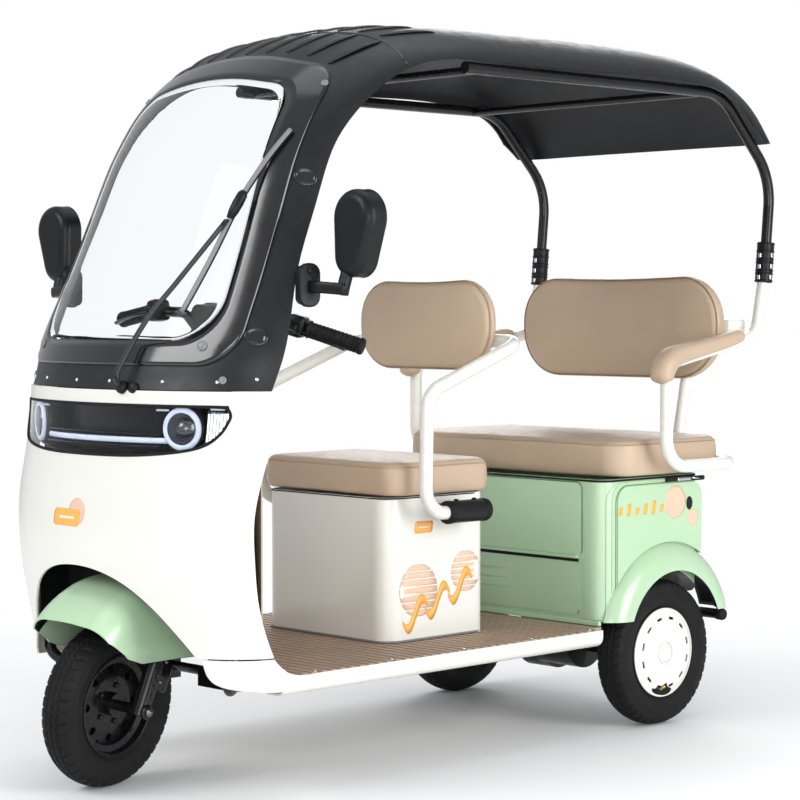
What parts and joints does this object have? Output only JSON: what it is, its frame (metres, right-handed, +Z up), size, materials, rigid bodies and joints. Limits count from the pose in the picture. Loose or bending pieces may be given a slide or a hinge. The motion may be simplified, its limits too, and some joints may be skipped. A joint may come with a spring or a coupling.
{
  "type": "electric passenger tricycle",
  "caption": "Electric passenger tricycle with a moulded roof and windscreen, a driver seat box, a rear bench over a storage body, and three wheels.",
  "frame": {"origin": "on the ground, under the middle of the whole vehicle's box", "axes": "+Z up, +X to the vehicle's left, -Y the way it drives"},
  "size_m": [1.197, 2.061, 1.7341],
  "materials": {
    "black_plastic": "satin moulded black",
    "glass": "clear",
    "cream_plastic": "gloss cream",
    "lens": "clear moulded lens",
    "black_metal": "satin black paint",
    "green_plastic": "gloss pale green",
    "grip_rubber": "ribbed rubber",
    "tyre": "black rubber",
    "tan_plastic": "matt tan",
    "spring_steel": "dark sprung steel",
    "tan_leather": "tan synthetic leather",
    "cream_metal": "gloss cream paint",
    "red_lens": "red lens"
  },
  "bodies": {
    "vehicle": {"arm_sleeves": "black_plastic", "armrest_pads": "tan_leather", "battery_pack": "black_plastic", "dash": "black_plastic", "driver_arm_frame": "cream_metal", "driver_backrest": "tan_leather", "floor_board": "tan_plastic", "frame": "black_metal", "front_fairing": "cream_plastic", "headlamp_housing": "black_plastic", "headlamp_lens": "lens", "leg_shield": "tan_plastic", "mirrors": "black_plastic", "plate_bracket": "black_metal", "post_sleeves": "black_plastic", "rear_axle": "black_metal", "rear_backrest": "tan_leather", "rear_body": "green_plastic", "rear_bumper": "black_metal", "rear_fenders": "green_plastic", "rear_seat_frame": "cream_metal", "rear_springs": "spring_steel", "roof_frame": "black_metal", "roof_shell": "black_plastic", "seat_box": "cream_plastic", "sill_pan": "cream_plastic", "tail_lamps": "red_lens", "wheel_liner": "black_plastic", "windscreen": "glass", "wiper": "black_metal"},
    "steering": {"fork": "black_metal", "front_fender": "green_plastic", "handlebar": "black_metal", "grips": "grip_rubber", "instrument_pod": "black_plastic"},
    "front_wheel": {"front_tyre": "tyre", "front_rim": "black_metal"},
    "rear_wheel_left": {"rear_tyre_left": "tyre", "rear_rim_left": "black_metal", "rear_hub_cap_left": "cream_plastic"},
    "rear_wheel_right": {"rear_tyre_right": "tyre", "rear_rim_right": "black_metal", "rear_hub_cap_right": "cream_plastic"},
    "driver_lid": {"driver_cushion": "tan_leather"},
    "bench_lid": {"bench_cushion": "tan_leather"}
  },
  "joints": [
    {"name": "steer", "type": "hinge", "parent": "vehicle", "child": "steering", "pos_m": [0, -0.82204, 0.185], "axis": [0, 0.3746, 0.9272], "range_deg": [-48, 22]},
    {"name": "front_spin", "type": "hinge", "parent": "steering", "child": "front_wheel", "pos_m": [0.00562, -0.84841, 0.18476], "axis": [0.9744, 0.2086, -0.0843], "continuous": true},
    {"name": "rear_left_spin", "type": "hinge", "parent": "vehicle", "child": "rear_wheel_left", "pos_m": [0.351, 0.608, 0.185], "axis": [1, 0, 0], "continuous": true},
    {"name": "rear_right_spin", "type": "hinge", "parent": "vehicle", "child": "rear_wheel_right", "pos_m": [-0.351, 0.608, 0.185], "axis": [1, 0, 0], "continuous": true},
    {"name": "driver_seat_hinge", "type": "hinge", "parent": "vehicle", "child": "driver_lid", "pos_m": [0, -0.2, 0.616], "axis": [1, 0, 0], "range_deg": [0, 80]},
    {"name": "bench_hinge", "type": "hinge", "parent": "vehicle", "child": "bench_lid", "pos_m": [0, 0.436, 0.636], "axis": [1, 0, 0], "range_deg": [0, 75]}
  ]
}
